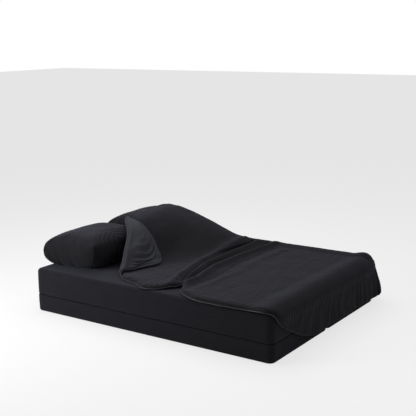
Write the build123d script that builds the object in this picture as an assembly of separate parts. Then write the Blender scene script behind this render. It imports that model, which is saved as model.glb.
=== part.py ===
from build123d import *
import os
from math import cos, pi, sin, tan

# Floor sofa bed laid out as a bed: two long foam sections side by side, two back
# cushions used as pillows, and one lined quilt. Lengths are in millimetres.
# While it is being made, X runs from the head end to the foot end, Y from the near
# side to the far side, and Z up from the floor.

# Sections
bed_length = 2000.0
section_width = 755.0
bed_height = 320.0
seam_height = 130.0
cover_thickness = 3.0
corner_radius = 40.0
top_edge_radius = 18.0
bottom_edge_radius = 10.0
rim_radius = 2.0
foam_clearance = 2.0
comfort_foam_thickness = 40.0
grip_panel_thickness = 2.0
grip_panel_inset = 25.0

# Zips of the section covers
chain_height = 5.0
chain_depth = 3.0
chain_recess = 1.0
running_clearance = 0.3
slider_length = 14.0
slider_height = 9.0
slider_plate = 1.5
lug_thickness = 1.2
lug_gap = 6.0
pin_radius = 0.8
pin_standoff = 2.4
eye_radius = 1.9
eye_bore_radius = 0.9
pull_length = 26.0
pull_thickness = 1.4

# Pillows
pillow_length = 495.0
pillow_thickness = 292.0
pillow_side_margin = 52.5
pillow_pair_gap = 40.0
pillow_cover_thickness = 3.0
pillow_fill_clearance = 1.5
pillow_draw_in = 18.0
pillow_zip_length = 380.0
pillow_chain_height = 8.0
pillow_chain_thickness = 1.6

# Quilt
quilt_thickness = 24.0
quilt_cloth_thickness = 2.0
quilt_layer_gap = 0.3
binding_width = 9.0
soft_clearance = 0.3
edge_clearance = 1.0
quilt_rise = 8.0
fold_height = 18.0
foot_hem_height = 36.0
side_drop = 220.0
corner_flare = 130.0
hang_wave = 9.0

# Places that follow from the sizes
bed_width = 2 * section_width
section_middle = section_width / 2
chain_low = seam_height - chain_height / 2
chain_high = seam_height + chain_height / 2
rest_height = bed_height + soft_clearance
pillow_width = section_width - 2 * pillow_side_margin
near_pillow_start = section_width - pillow_pair_gap / 2 - pillow_width
far_pillow_start = section_width + pillow_pair_gap / 2
hump_height = pillow_thickness + quilt_rise


def rounded_block(inset, low, high, corner, top_edge, bottom_edge):
    """A box with round upright corners, one section's outline drawn in by inset."""
    outline = RectangleRounded(bed_length - 2 * inset, section_width - 2 * inset, corner)
    block = Pos(bed_length / 2, section_middle, low) * extrude(outline, amount=high - low)
    if top_edge > 0:
        block = fillet(block.edges().group_by(Axis.Z)[-1], top_edge)
    if bottom_edge > 0:
        block = fillet(block.edges().group_by(Axis.Z)[0], bottom_edge)
    return block


# Cover of one section: a lid and a tray that a zip joins all round
def upper_cover():
    inner_corner = corner_radius - cover_thickness
    outer = rounded_block(0, chain_high, bed_height, corner_radius, top_edge_radius, rim_radius)
    inner = rounded_block(
        cover_thickness,
        chain_low,
        bed_height - cover_thickness,
        inner_corner,
        top_edge_radius - cover_thickness,
        0,
    )
    return outer - inner


def lower_cover():
    inner_corner = corner_radius - cover_thickness
    outer = rounded_block(
        0, grip_panel_thickness, chain_low, corner_radius, rim_radius, bottom_edge_radius
    )
    inner = rounded_block(
        cover_thickness,
        grip_panel_thickness + cover_thickness,
        chain_high,
        inner_corner,
        0,
        bottom_edge_radius - cover_thickness,
    )
    return outer - inner


def zip_chain():
    ring_inset = chain_recess + chain_depth
    outer = rounded_block(chain_recess, chain_low, chain_high, corner_radius - chain_recess, 0, 0)
    inner = rounded_block(ring_inset, chain_low, chain_high, corner_radius - ring_inset, 0, 0)
    return outer - inner


def grip_panel():
    return rounded_block(
        grip_panel_inset, 0, grip_panel_thickness, corner_radius - grip_panel_inset, 0, 0
    )


# Foam inside one section, three sheets stacked
foam_inset = cover_thickness + foam_clearance
foam_corner = corner_radius - foam_inset
comfort_foam_low = bed_height - cover_thickness - comfort_foam_thickness


def base_foam():
    low = grip_panel_thickness + cover_thickness
    return rounded_block(foam_inset, low, seam_height, foam_corner, 0, bottom_edge_radius - cover_thickness)


def support_foam():
    return rounded_block(foam_inset, seam_height, comfort_foam_low, foam_corner, 0, 0)


def comfort_foam():
    high = bed_height - cover_thickness
    edge = top_edge_radius - cover_thickness
    return rounded_block(foam_inset, comfort_foam_low, high, foam_corner, edge, 0)


# Slider of a section's zip, with two lugs and a pin that carry the pull. It runs on
# the head end, where the chain is straight.
slider_face = -running_clearance - slider_plate
pin_line = slider_face - pin_standoff


def upright_box(x_low, x_high, y_middle, y_size, z_middle, z_size):
    box = Box(x_high - x_low, y_size, z_size)
    return Pos((x_low + x_high) / 2, y_middle, z_middle) * box


def zip_slider():
    plate = upright_box(
        slider_face, -running_clearance, section_middle, slider_length, seam_height, slider_height
    )
    tongue_height = chain_height - 2 * running_clearance
    tongue = upright_box(
        -running_clearance,
        chain_recess - running_clearance,
        section_middle,
        slider_length,
        seam_height,
        tongue_height,
    )
    slider = plate + tongue
    for side in (-1, 1):
        lug_middle = section_middle + side * (lug_gap + lug_thickness) / 2
        lug = upright_box(
            pin_line - eye_radius, slider_face, lug_middle, lug_thickness, seam_height, 2 * eye_radius
        )
        slider += lug
    pin = Cylinder(pin_radius, lug_gap + 2 * lug_thickness)
    slider += Pos(pin_line, section_middle, seam_height) * Rot(90, 0, 0) * pin
    return slider


def zip_pull():
    """A flat tab that hangs from an eye round the slider's pin."""
    width = lug_gap - 2 * running_clearance
    eye = Cylinder(eye_radius, width)
    tab = Pos(0, -pull_length / 2, 0) * Box(pull_thickness, pull_length, width)
    bore = Cylinder(eye_bore_radius, width)
    pull = eye + tab - bore
    return Pos(pin_line, section_middle, seam_height) * Rot(90, 0, 0) * pull


# Pillow: lengthwise stations over its length, each a closed outline of arcs that
# rises to the crown and drops to the underside from the side seams
station_shares = (0.0, 0.06, 0.22, 0.5, 0.76, 0.93, 1.0)
crown_shares = (0.3, 0.6, 0.9, 1.0, 0.84, 0.5, 0.22)
belly_shares = (0.4, 0.72, 1.0, 1.1, 1.0, 0.66, 0.28)
shoulder_share = 0.3
shoulder_rise_share = 0.87
bulge_across_share = 0.3
bulge_rise_share = 0.72


def pillow_outline(x, y_near, y_far, seam, crown, belly):
    width = y_far - y_near
    middle = (y_near + y_far) / 2
    shoulder = shoulder_share * width
    bulge = bulge_across_share * shoulder
    top = seam + crown
    shoulder_top = seam + shoulder_rise_share * crown
    side_top = seam + bulge_rise_share * shoulder_rise_share * crown
    bottom = seam - belly
    side_bottom = seam - bulge_rise_share * belly
    near_seam = (x, y_near, seam)
    far_seam = (x, y_far, seam)
    near_top = (x, y_near + shoulder, shoulder_top)
    far_top = (x, y_far - shoulder, shoulder_top)
    near_bottom = (x, y_near + shoulder, bottom)
    far_bottom = (x, y_far - shoulder, bottom)
    edges = [
        ThreePointArc(near_seam, (x, y_near + bulge, side_top), near_top),
        ThreePointArc(near_top, (x, middle, top), far_top),
        ThreePointArc(far_top, (x, y_far - bulge, side_top), far_seam),
        ThreePointArc(far_seam, (x, y_far - bulge, side_bottom), far_bottom),
        Line(far_bottom, near_bottom),
        ThreePointArc(near_bottom, (x, y_near + bulge, side_bottom), near_seam),
    ]
    return Face(Wire(edges))


def pillow_form(inset, floor_height):
    """The pillow's swelled body drawn in by inset and cut flat at floor_height."""
    seam = rest_height + pillow_thickness / 2
    half = pillow_thickness / 2 - inset
    stations = []
    for station, crown, belly in zip(station_shares, crown_shares, belly_shares):
        x = inset + station * (pillow_length - 2 * inset)
        draw = pillow_draw_in * 4 * station * (1 - station)
        side = inset + draw
        outline = pillow_outline(x, side, pillow_width - side, seam, crown * half, belly * half)
        stations.append(outline)
    body = loft(stations)
    below = Box(2 * pillow_length, 2 * pillow_width, pillow_thickness)
    cut = Pos(pillow_length / 2, pillow_width / 2, floor_height - pillow_thickness / 2)
    return body - cut * below


def pillow_cover():
    outer = pillow_form(0, rest_height)
    inner = pillow_form(pillow_cover_thickness, rest_height + pillow_cover_thickness)
    return outer - inner


def pillow_filling():
    inset = pillow_cover_thickness + pillow_fill_clearance
    return pillow_form(inset, rest_height + pillow_cover_thickness)


pillow_seam = rest_height + (1 - (belly_shares[0] - crown_shares[0]) / 2) * pillow_thickness / 2


def pillow_zip_chain():
    return upright_box(
        -pillow_chain_thickness, 0, pillow_width / 2, pillow_zip_length, pillow_seam, pillow_chain_height
    )


def pillow_zip_slider():
    """A locking slider without a pull, astride the chain."""
    outer_face = -pillow_chain_thickness - running_clearance
    body = upright_box(
        outer_face - slider_plate,
        -running_clearance,
        pillow_width / 2,
        slider_length,
        pillow_seam,
        pillow_chain_height + 2 * (running_clearance + slider_plate),
    )
    slot = upright_box(
        outer_face,
        0,
        pillow_width / 2,
        2 * slider_length,
        pillow_seam,
        pillow_chain_height + 2 * running_clearance,
    )
    return body - slot


# Quilt: rows of points on its underside, from the head edge over the pillows and the
# bed, round the foot edge and down to the hem. Each point has a direction in which
# the layers are piled. Columns run from the near edge to the hem on the far side.
column_shares = (0.15, 0.32, 0.5, 0.68, 0.82, 0.93)
bend_turn = pi / 8
bend_radius = top_edge_radius + edge_clearance
bend_in = top_edge_radius - bend_radius * tan(bend_turn)
bend_lean = tan(bend_turn)
far_bend = bed_width - bend_in

# Rows over the pillows: near and far places as shares of the pillow's length, the
# near edge as a share of the pillow's width, and the rise at each column as a share
# of the hump, from the near edge to the last column before the far side
hump_row_shares = (
    (0.73, 0.40, 0.855, (1.0, 0.98, 0.98, 0.99, 0.97, 0.88, 0.58)),
    (0.88, 0.72, 0.690, (0.84, 0.90, 0.94, 0.98, 0.97, 0.90, 0.62)),
    (1.05, 1.10, 0.490, (0.55, 0.60, 0.70, 0.84, 0.86, 0.80, 0.56)),
    (1.265, 1.60, 0.180, (0.0, 0.0, 0.03, 0.22, 0.56, 0.52, 0.32)),
    (1.49, 1.80, 0.020, (0.0, 0.0, 0.02, 0.12, 0.34, 0.33, 0.16)),
    (1.77, 1.92, -0.05, (0.0, 0.0, 0.0, 0.03, 0.13, 0.13, 0.06)),
)
# Rows from there to the foot edge: near and far places as shares of the stretch
# left, the near edge as a share of a section's width, the height of the fold, and
# the share of the corner's flare that the far side has there
flat_row_shares = (
    (0.09, 0.02, 0.07, 0.1, 0.0),
    (0.14, 0.06, 0.13, 1.0, 0.0),
    (0.20, 0.14, 0.20, 0.1, 0.0),
    (0.25, 0.21, 0.22, 1.0, 0.0),
    (0.30, 0.28, 0.17, 0.1, 0.0),
    (0.42, 0.43, 0.05, 0.0, 0.0),
    (0.62, 0.62, 0.00, 0.0, 0.0),
    (0.85, 0.85, -0.02, 0.0, 0.4),
)
# Rows on the foot side: the drop as a share of the whole hang, and the near edge as
# a share of a section's width
hang_row_shares = ((0.0, 0.0), (0.3, 0.13), (0.65, 0.34))
hang_hem_share = 0.61
wave_shares = (0.0, 0.3, 1.0, 0.2, 0.9, 0.1, 0.8, 0.0, 0.0)
foot_flare_shares = (0, 0, 0, 0, 0, 0, 0.12, 0.4, 0.85)
edge_flare_share = 0.4
hem_top = bed_height - bend_in
whole_hang = hem_top - foot_hem_height
side_drops = (0, side_drop / 2, side_drop - binding_width, side_drop)
last_column = len(column_shares) + 2 + len(side_drops)


def across(y_near):
    """Places of the columns on top of the bed, the first two at the binding."""
    places = [y_near, y_near + binding_width]
    for share in column_shares:
        places.append(y_near + share * (far_bend - y_near))
    return places


def side_flare(side, share):
    """How far the far side stands out at a way down it, as the foot corner is neared."""
    return share * edge_flare_share * corner_flare * side / whole_hang


def top_row(x_near, x_far, y_near, rises, flare_share=0):
    row = []
    slope = (x_far - x_near) / (bed_width - y_near)
    for y, rise in zip(across(y_near), rises):
        point = Vector(x_near + slope * (y - y_near), y, rest_height + rise)
        row.append((point, Vector(0, 0, 1)))
    point = Vector(x_near + slope * (far_bend - y_near), far_bend, bed_height + edge_clearance)
    row.append((point, Vector(slope * bend_lean, bend_lean, 1)))
    for side in side_drops:
        y = bed_width + edge_clearance + side_flare(side, flare_share)
        lean = bend_lean if side == 0 else 0
        point = Vector(x_near + slope * (y - y_near), y, hem_top - side)
        row.append((point, Vector(slope, 1, lean)))
    return row


def corner_point(drop, side):
    """A point of the flared corner, by its way down the foot and down the far side."""
    total = drop + side
    turn = side / total if total > 0 else 1 / 2
    fall = max(drop, side)
    flare = edge_flare_share + (1 - edge_flare_share) * 4 * turn * (1 - turn)
    out = corner_flare * flare * fall / whole_hang
    angle = turn * pi / 2
    outward = Vector(cos(angle), sin(angle), 0)
    corner = Vector(bed_length + edge_clearance, bed_width + edge_clearance, hem_top - fall)
    return corner + outward * out, outward


def foot_row(drop, y_near):
    row = []
    depth = drop / whole_hang
    lean = bend_lean if drop == 0 else 0
    places = across(y_near) + [far_bend]
    for y, wave, flare in zip(places, wave_shares, foot_flare_shares):
        out = wave * hang_wave + flare * edge_flare_share * corner_flare
        x = bed_length + edge_clearance + out * depth
        row.append((Vector(x, y, hem_top - drop), Vector(1, 0, lean)))
    for side in side_drops:
        row.append(corner_point(drop, side))
    return row


def bend_row(y_near):
    """The row on top of the foot edge, just before the quilt turns down."""
    x = bed_length - bend_in
    z = bed_height + edge_clearance
    row = [(Vector(x, y, z), Vector(bend_lean, 0, 1)) for y in across(y_near)]
    row.append((Vector(x, far_bend, z), Vector(bend_lean, bend_lean, 1)))
    for side in side_drops:
        y = bed_width + edge_clearance + side_flare(side, 1)
        lean = bend_lean if side == 0 else 0
        row.append((Vector(x, y, hem_top - side), Vector(bend_lean, 1, lean)))
    return row


def quilt_rows():
    rows = []
    for near, far, edge, rises in hump_row_shares:
        x_near = near * pillow_length
        x_far = far * pillow_length
        y_near = near_pillow_start + edge * pillow_width
        heights = [rises[0] * hump_height] + [rise * hump_height for rise in rises]
        rows.append(top_row(x_near, x_far, y_near, heights))
        if len(rows) == 1:
            rows.append(top_row(x_near + binding_width, x_far + binding_width, y_near, heights))
    stretch = bed_length - bend_in - x_near
    far_stretch = bed_length - bend_in - x_far
    columns = len(column_shares) + 2
    for near, far, edge, fold, flare in flat_row_shares:
        heights = [fold * fold_height] * columns
        places = (x_near + near * stretch, x_far + far * far_stretch)
        rows.append(top_row(*places, edge * section_width, heights, flare))
    rows.append(bend_row(edge * section_width))
    for drop, edge in hang_row_shares:
        rows.append(foot_row(drop * whole_hang, edge * section_width))
    rows.append(foot_row(whole_hang - binding_width, hang_hem_share * section_width))
    rows.append(foot_row(whole_hang, hang_hem_share * section_width))
    return rows


quilt = quilt_rows()
last_row = len(quilt) - 1


def between(low, high, share):
    return low + (high - low) * share


def on_row(row, column, lift):
    first = min(int(column), last_column)
    second = min(first + 1, last_column)
    share = column - first
    place = between(row[first][0], row[second][0], share)
    outward = between(row[first][1], row[second][1], share)
    return place + outward * lift


def on_quilt(row, column, lift):
    """A point at a lift above the underside, between rows and columns."""
    first = min(int(row), last_row)
    second = min(first + 1, last_row)
    near = on_row(quilt[first], column, lift)
    far = on_row(quilt[second], column, lift)
    return between(near, far, row - first)


def quilt_piece(rows, columns_of, low, high):
    """A layer of the quilt between two lifts, lofted from row to row."""
    outlines = []
    for row in rows:
        columns = columns_of(row)
        under = [on_quilt(row, column, low) for column in columns]
        over = [on_quilt(row, column, high) for column in reversed(columns)]
        outlines.append(Wire(Polyline(*under, *over, close=True).edges()))
    return Solid.make_loft(outlines, ruled=True)


def inner_columns(row):
    return list(range(1, last_column))


def all_columns(row):
    return list(range(0, last_column + 1))


def near_binding_columns(row):
    return [0, 1]


def far_binding_columns(row):
    return [last_column - 1, last_column]


inner_rows = list(range(1, last_row))
lining_top = quilt_cloth_thickness
wadding_low = lining_top + quilt_layer_gap
cloth_low = quilt_thickness - quilt_cloth_thickness
wadding_high = cloth_low - quilt_layer_gap

# The near corner at the head is turned back over the quilt, so its lining shows.
# The fold runs along the near edge, and the flap ends at these columns.
flap_rows = (1, 2, 3, 4)
flap_reach_shares = (1.15, 1.6, 2.3, 3.0)
flap_fold_share = 0.1
flap_low = quilt_thickness + quilt_layer_gap
flap_cloth_top = flap_low + quilt_cloth_thickness
flap_wadding_low = flap_cloth_top + quilt_layer_gap
flap_high = flap_low + quilt_thickness
flap_lining_low = flap_high - quilt_cloth_thickness
flap_wadding_high = flap_lining_low - quilt_layer_gap


def flap_columns(row):
    reach = flap_reach_shares[flap_rows.index(row)]
    columns = [flap_fold_share, 1]
    columns += [column for column in (2, 3) if column < reach]
    while len(columns) < 4:
        columns.append(between(columns[-1], reach, 1 / 3))
    return columns[:4] + [reach]


def flap_piece(low, high):
    return quilt_piece(flap_rows, flap_columns, low, high)


def quilt_lining():
    under = quilt_piece(inner_rows, inner_columns, 0, lining_top)
    return [under, flap_piece(flap_lining_low, flap_high)]


def quilt_wadding():
    under = quilt_piece(inner_rows, inner_columns, wadding_low, wadding_high)
    return [under, flap_piece(flap_wadding_low, flap_wadding_high)]


def quilt_top_cloth():
    over = quilt_piece(inner_rows, inner_columns, cloth_low, quilt_thickness)
    return [over, flap_piece(flap_low, flap_cloth_top)]


def quilt_binding():
    strips = [
        quilt_piece(inner_rows, near_binding_columns, 0, quilt_thickness),
        quilt_piece(inner_rows, far_binding_columns, 0, quilt_thickness),
        quilt_piece([0, 1], all_columns, 0, quilt_thickness),
        quilt_piece([last_row - 1, last_row], all_columns, 0, quilt_thickness),
    ]
    return strips


# Putting the pieces together, each node as a list of solids
section_pieces = {
    "upper_cover": upper_cover(),
    "lower_cover": lower_cover(),
    "zip_chain": zip_chain(),
    "grip_panel": grip_panel(),
    "base_foam": base_foam(),
    "support_foam": support_foam(),
    "comfort_foam": comfort_foam(),
    "zip_slider": zip_slider(),
    "zip_pull": zip_pull(),
}
pillow_pieces = {
    "pillow_cover": pillow_cover(),
    "pillow_filling": pillow_filling(),
    "pillow_zip_chain": pillow_zip_chain(),
    "pillow_zip_slider": pillow_zip_slider(),
}
section_starts = {"near": 0, "far": section_width}
pillow_starts = {"near": near_pillow_start, "far": far_pillow_start}
nodes = {}
for side in ("near", "far"):
    for name, piece in section_pieces.items():
        to_section = Pos(0, section_starts[side], 0)
        nodes[f"{side}_{name}"] = [to_section * solid for solid in piece.solids()]
    for name, piece in pillow_pieces.items():
        to_pillow = Pos(0, pillow_starts[side], 0)
        nodes[f"{side}_{name}"] = [to_pillow * solid for solid in piece.solids()]
nodes["quilt_lining"] = quilt_lining()
nodes["quilt_wadding"] = quilt_wadding()
nodes["quilt_top_cloth"] = quilt_top_cloth()
nodes["quilt_binding"] = quilt_binding()

# The origin is the middle of the whole at floor level
box = Compound([solid for solids in nodes.values() for solid in solids]).bounding_box()
to_origin = Pos(-(box.min.X + box.max.X) / 2, -(box.min.Y + box.max.Y) / 2, 0)
os.makedirs("parts", exist_ok=True)
for name, solids in nodes.items():
    export_step(Compound([to_origin * solid for solid in solids]), f"parts/{name}.step")
print("whole size", box.size, "shift", to_origin.position)
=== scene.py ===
import math

import bmesh
import bpy
import numpy as np
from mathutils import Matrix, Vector, noise


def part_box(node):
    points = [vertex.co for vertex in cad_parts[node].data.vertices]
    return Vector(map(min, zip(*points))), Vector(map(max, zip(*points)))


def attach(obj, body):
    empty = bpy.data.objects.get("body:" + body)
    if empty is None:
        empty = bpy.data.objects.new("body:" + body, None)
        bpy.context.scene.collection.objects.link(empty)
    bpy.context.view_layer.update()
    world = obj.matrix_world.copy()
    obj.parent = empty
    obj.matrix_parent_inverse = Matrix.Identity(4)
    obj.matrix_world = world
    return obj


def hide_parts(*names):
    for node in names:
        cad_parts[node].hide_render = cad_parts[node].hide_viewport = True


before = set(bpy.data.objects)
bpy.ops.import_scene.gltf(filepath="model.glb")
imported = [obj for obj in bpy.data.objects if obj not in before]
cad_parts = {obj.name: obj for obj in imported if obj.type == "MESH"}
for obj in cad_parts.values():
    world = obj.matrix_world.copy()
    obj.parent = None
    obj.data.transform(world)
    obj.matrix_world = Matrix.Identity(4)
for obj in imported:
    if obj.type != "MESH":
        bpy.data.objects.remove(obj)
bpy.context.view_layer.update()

# Where the bed lies. Two foam sections lie side by side on the floor, and every later
# piece is placed from the near corner at the head end, with X to the foot, Y to the
# far side and Z up.
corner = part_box("near_lower_cover")[0]
near_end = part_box("near_upper_cover")[1]
far_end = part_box("far_upper_cover")[1]
origin = np.array((corner.x, corner.y, 0.0))
bed_length = far_end.x - corner.x
bed_width = far_end.y - corner.y
section_width = near_end.y - corner.y
bed_top = far_end.z
sides = {"near": 0.0, "far": section_width}
section_bodies = {"near": "near_section", "far": "root"}


# Grip panels. Under each section a non-slip fabric is sewn on, with rubber dots that
# keep the loose section from sliding on the floor. The dots are printed in rows, with
# the fabric between them just clear of the floor.
panel_corner = 0.015
panel_dot_pitch = 0.02
panel_dot_radius = 0.0032
panel_dot_height = 0.0008
panel_dot_margin = 0.02
panel_dot_taper = 0.8
panel_dot_sides = 10


def add_object(name, data):
    thing = bpy.data.objects.new(name, data)
    bpy.context.scene.collection.objects.link(thing)
    return thing


def make_piece(name, points, faces, smooth=True):
    """A piece whose place is in its mesh, with its object at the origin."""
    mesh = bpy.data.meshes.new(name)
    mesh.from_pydata([tuple(point) for point in points], [], faces)
    mesh.polygons.foreach_set("use_smooth", [smooth] * len(mesh.polygons))
    return add_object(name, mesh)


def rounded_outline(low, high, radius, inset=0.0, step=0.02, arc_steps=8, least_radius=0.001):
    """Points round a rectangle with round corners drawn in by inset, and their outward directions."""
    turn = max(radius - inset, least_radius)
    middle = np.array((low.x + high.x, low.y + high.y)) / 2
    reach = np.array((high.x - low.x, high.y - low.y)) / 2 - inset - turn
    points = []
    outward = []
    for quarter, signs in enumerate(((1, -1), (1, 1), (-1, 1), (-1, -1))):
        for arc in range(arc_steps + 1):
            angle = math.pi / 2 * (quarter - 1 + arc / arc_steps)
            direction = np.array((math.cos(angle), math.sin(angle)))
            points.append(middle + reach * signs + turn * direction)
            outward.append(direction)
        axis = 1 - quarter % 2
        run = 2 * reach[axis]
        count = round((high[axis] - low[axis]) / step)
        along = np.array((-direction[1], direction[0]))
        end = points[-1]
        for place in range(1, count):
            points.append(end + along * run * place / count)
            outward.append(direction)
    return np.array(points), np.array(outward)


def ring_faces(rings, around):
    """Faces between closed rings of points, each ring laid after the one before."""
    faces = []
    for ring in range(rings - 1):
        for step in range(around):
            after = (step + 1) % around
            first = ring * around
            second = first + around
            faces.append((first + step, first + after, second + after, second + step))
    return faces


def new_material(name, roughness, sheen=0.0, metallic=0.0, specular=0.5):
    """A plain shader, with a cool soft sheen where the cloth has a nap."""
    sheen_roughness = 0.45
    sheen_tint = (0.75, 0.8, 1.0, 1.0)
    material = bpy.data.materials.new(name)
    material.use_nodes = True
    shader = material.node_tree.nodes["Principled BSDF"]
    shader.inputs["Roughness"].default_value = roughness
    shader.inputs["Metallic"].default_value = metallic
    shader.inputs["Specular IOR Level"].default_value = specular
    if sheen > 0:
        shader.inputs["Sheen Weight"].default_value = sheen
        shader.inputs["Sheen Roughness"].default_value = sheen_roughness
        shader.inputs["Sheen Tint"].default_value = sheen_tint
    return material, shader


def add_node(material, kind, **inputs):
    node = material.node_tree.nodes.new(kind)
    for name, value in inputs.items():
        node.inputs[name.replace("_", " ")].default_value = value
    return node


def wire(material, source, target):
    material.node_tree.links.new(source, target)


def colour_by(material, shader, factor, dark, light, dark_end=0.3, light_end=0.7):
    """The shader's colour runs from dark to light with a factor."""
    ramp = material.node_tree.nodes.new("ShaderNodeValToRGB")
    ramp.color_ramp.elements[0].position = dark_end
    ramp.color_ramp.elements[1].position = light_end
    ramp.color_ramp.elements[0].color = (*dark, 1)
    ramp.color_ramp.elements[1].color = (*light, 1)
    wire(material, factor, ramp.inputs["Fac"])
    wire(material, ramp.outputs["Color"], shader.inputs["Base Color"])


def placed_noise(material, scale, detail=3.0, stretch=(1, 1, 1)):
    """Noise on Object coordinates, stretched along an axis."""
    place = material.node_tree.nodes.new("ShaderNodeTexCoord")
    mapping = material.node_tree.nodes.new("ShaderNodeMapping")
    mapping.inputs["Scale"].default_value = stretch
    wire(material, place.outputs["Object"], mapping.inputs["Vector"])
    grain = add_node(material, "ShaderNodeTexNoise", Scale=scale, Detail=detail)
    wire(material, mapping.outputs["Vector"], grain.inputs["Vector"])
    return grain


def bump_from(material, shader, height, strength, distance, under=None):
    bump = add_node(material, "ShaderNodeBump", Strength=strength, Distance=distance)
    wire(material, height, bump.inputs["Height"])
    if under is not None:
        wire(material, under.outputs["Normal"], bump.inputs["Normal"])
    wire(material, bump.outputs["Normal"], shader.inputs["Normal"])
    return bump


def grained_material(name, scale, dark, light, detail=3.0, strength=0.0, distance=0.0, **finish):
    """A material whose colour follows one noise, and its fine relief too where it has some."""
    material, shader = new_material(name, **finish)
    grain = placed_noise(material, scale, detail)
    colour_by(material, shader, grain.outputs["Fac"], dark, light)
    if strength > 0:
        bump_from(material, shader, grain.outputs["Fac"], strength, distance)
    return material, shader


def finish_piece(piece, material, body, slot, *nodes):
    """Gives a piece its material and body, and hides the nodes it stands for; its slot is not used."""
    if material is not None:
        piece.data.materials.clear()
        piece.data.materials.append(material)
    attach(piece, body)
    if nodes:
        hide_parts(*nodes)


grip_cloth, _ = grained_material(
    "grip_cloth",
    scale=900.0,
    dark=(0.010, 0.010, 0.011),
    light=(0.022, 0.022, 0.025),
    strength=0.5,
    distance=0.0006,
    roughness=0.9,
)
grip_rubber, _ = grained_material(
    "grip_rubber", scale=300.0, dark=(0.014, 0.014, 0.014), light=(0.02, 0.02, 0.02), roughness=0.55
)


def start_tree(name, inputs):
    """A Geometry Nodes tree with its named inputs, and its first and its last node."""
    tree = bpy.data.node_groups.new(name, "GeometryNodeTree")
    for socket, kind in (("Geometry", "Geometry"), *inputs):
        tree.interface.new_socket(socket, in_out="INPUT", socket_type="NodeSocket" + kind)
    tree.interface.new_socket("Geometry", in_out="OUTPUT", socket_type="NodeSocketGeometry")
    return tree, tree.nodes.new("NodeGroupInput"), tree.nodes.new("NodeGroupOutput")


def dot_tree():
    """Geometry Nodes tree that prints rows of round rubber dots under a panel."""
    sizes = ("Panel length", "Panel width", "Dot pitch", "Dot radius", "Dot height")
    inputs = [(size, "Float") for size in sizes] + [("Panel middle", "Vector"), ("Dot rubber", "Material")]
    tree, source, result = start_tree("grip_dots", inputs)
    nodes = tree.nodes
    links = tree.links
    grid = nodes.new("GeometryNodeMeshGrid")
    for size, axis in (("Panel length", "X"), ("Panel width", "Y")):
        links.new(source.outputs[size], grid.inputs["Size " + axis])
        divide = nodes.new("ShaderNodeMath")
        divide.operation = "DIVIDE"
        links.new(source.outputs[size], divide.inputs[0])
        links.new(source.outputs["Dot pitch"], divide.inputs[1])
        links.new(divide.outputs[0], grid.inputs["Vertices " + axis])
    dot = nodes.new("GeometryNodeMeshCone")
    dot.inputs["Vertices"].default_value = panel_dot_sides
    links.new(source.outputs["Dot radius"], dot.inputs["Radius Bottom"])
    top = nodes.new("ShaderNodeMath")
    top.operation = "MULTIPLY"
    top.inputs[1].default_value = panel_dot_taper
    links.new(source.outputs["Dot radius"], top.inputs[0])
    links.new(top.outputs[0], dot.inputs["Radius Top"])
    links.new(source.outputs["Dot height"], dot.inputs["Depth"])
    turn = nodes.new("GeometryNodeTransform")
    turn.inputs["Rotation"].default_value = (math.pi, 0, 0)
    links.new(dot.outputs["Mesh"], turn.inputs["Geometry"])
    print_dots = nodes.new("GeometryNodeInstanceOnPoints")
    links.new(grid.outputs["Mesh"], print_dots.inputs["Points"])
    links.new(turn.outputs["Geometry"], print_dots.inputs["Instance"])
    move = nodes.new("GeometryNodeTransform")
    links.new(print_dots.outputs["Instances"], move.inputs["Geometry"])
    links.new(source.outputs["Panel middle"], move.inputs["Translation"])
    realize = nodes.new("GeometryNodeRealizeInstances")
    links.new(move.outputs["Geometry"], realize.inputs["Geometry"])
    paint = nodes.new("GeometryNodeSetMaterial")
    links.new(realize.outputs["Geometry"], paint.inputs["Geometry"])
    links.new(source.outputs["Dot rubber"], paint.inputs["Material"])
    join = nodes.new("GeometryNodeJoinGeometry")
    links.new(paint.outputs["Geometry"], join.inputs["Geometry"])
    links.new(source.outputs["Geometry"], join.inputs["Geometry"])
    links.new(join.outputs["Geometry"], result.inputs["Geometry"])
    return tree


def run_tree(piece, tree, values):
    """Runs a tree on a piece with its named inputs, and turns the result into a plain mesh."""
    modifier = piece.modifiers.new(tree.name, "NODES")
    modifier.node_group = tree
    for name, value in values.items():
        modifier[tree.interface.items_tree[name].identifier] = value
    return set_mesh(piece)


def set_mesh(piece):
    """Turns a piece's modifiers into its plain mesh."""
    bpy.context.view_layer.update()
    graph = bpy.context.evaluated_depsgraph_get()
    mesh = bpy.data.meshes.new_from_object(piece.evaluated_get(graph), depsgraph=graph)
    piece.modifiers.clear()
    if piece.type == "MESH":
        piece.data = mesh
        return piece
    name = piece.name
    fresh = add_object(name + "_mesh", mesh)
    bpy.data.objects.remove(piece)
    fresh.name = name
    return fresh


grip_dots = dot_tree()
for side in sides:
    low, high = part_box(f"{side}_grip_panel")
    outline, _ = rounded_outline(low, high, panel_corner)
    rings = [np.column_stack((outline, np.full(len(outline), z))) for z in (panel_dot_height, high.z)]
    around = len(outline)
    faces = ring_faces(len(rings), around)
    faces.append(tuple(reversed(range(around))))
    faces.append(tuple(range(around, 2 * around)))
    panel = make_piece(f"{side}_grip_cloth", np.vstack(rings), faces, smooth=False)
    panel.data.materials.append(grip_cloth)
    values = {
        "Panel length": high.x - low.x - 2 * panel_dot_margin,
        "Panel width": high.y - low.y - 2 * panel_dot_margin,
        "Dot pitch": panel_dot_pitch,
        "Dot radius": panel_dot_radius,
        "Dot height": panel_dot_height,
        "Panel middle": ((low.x + high.x) / 2, (low.y + high.y) / 2, panel_dot_height),
        "Dot rubber": grip_rubber,
    }
    run_tree(panel, grip_dots, values)
    finish_piece(panel, None, section_bodies[side], "grip_fabric", f"{side}_grip_panel")


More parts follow.
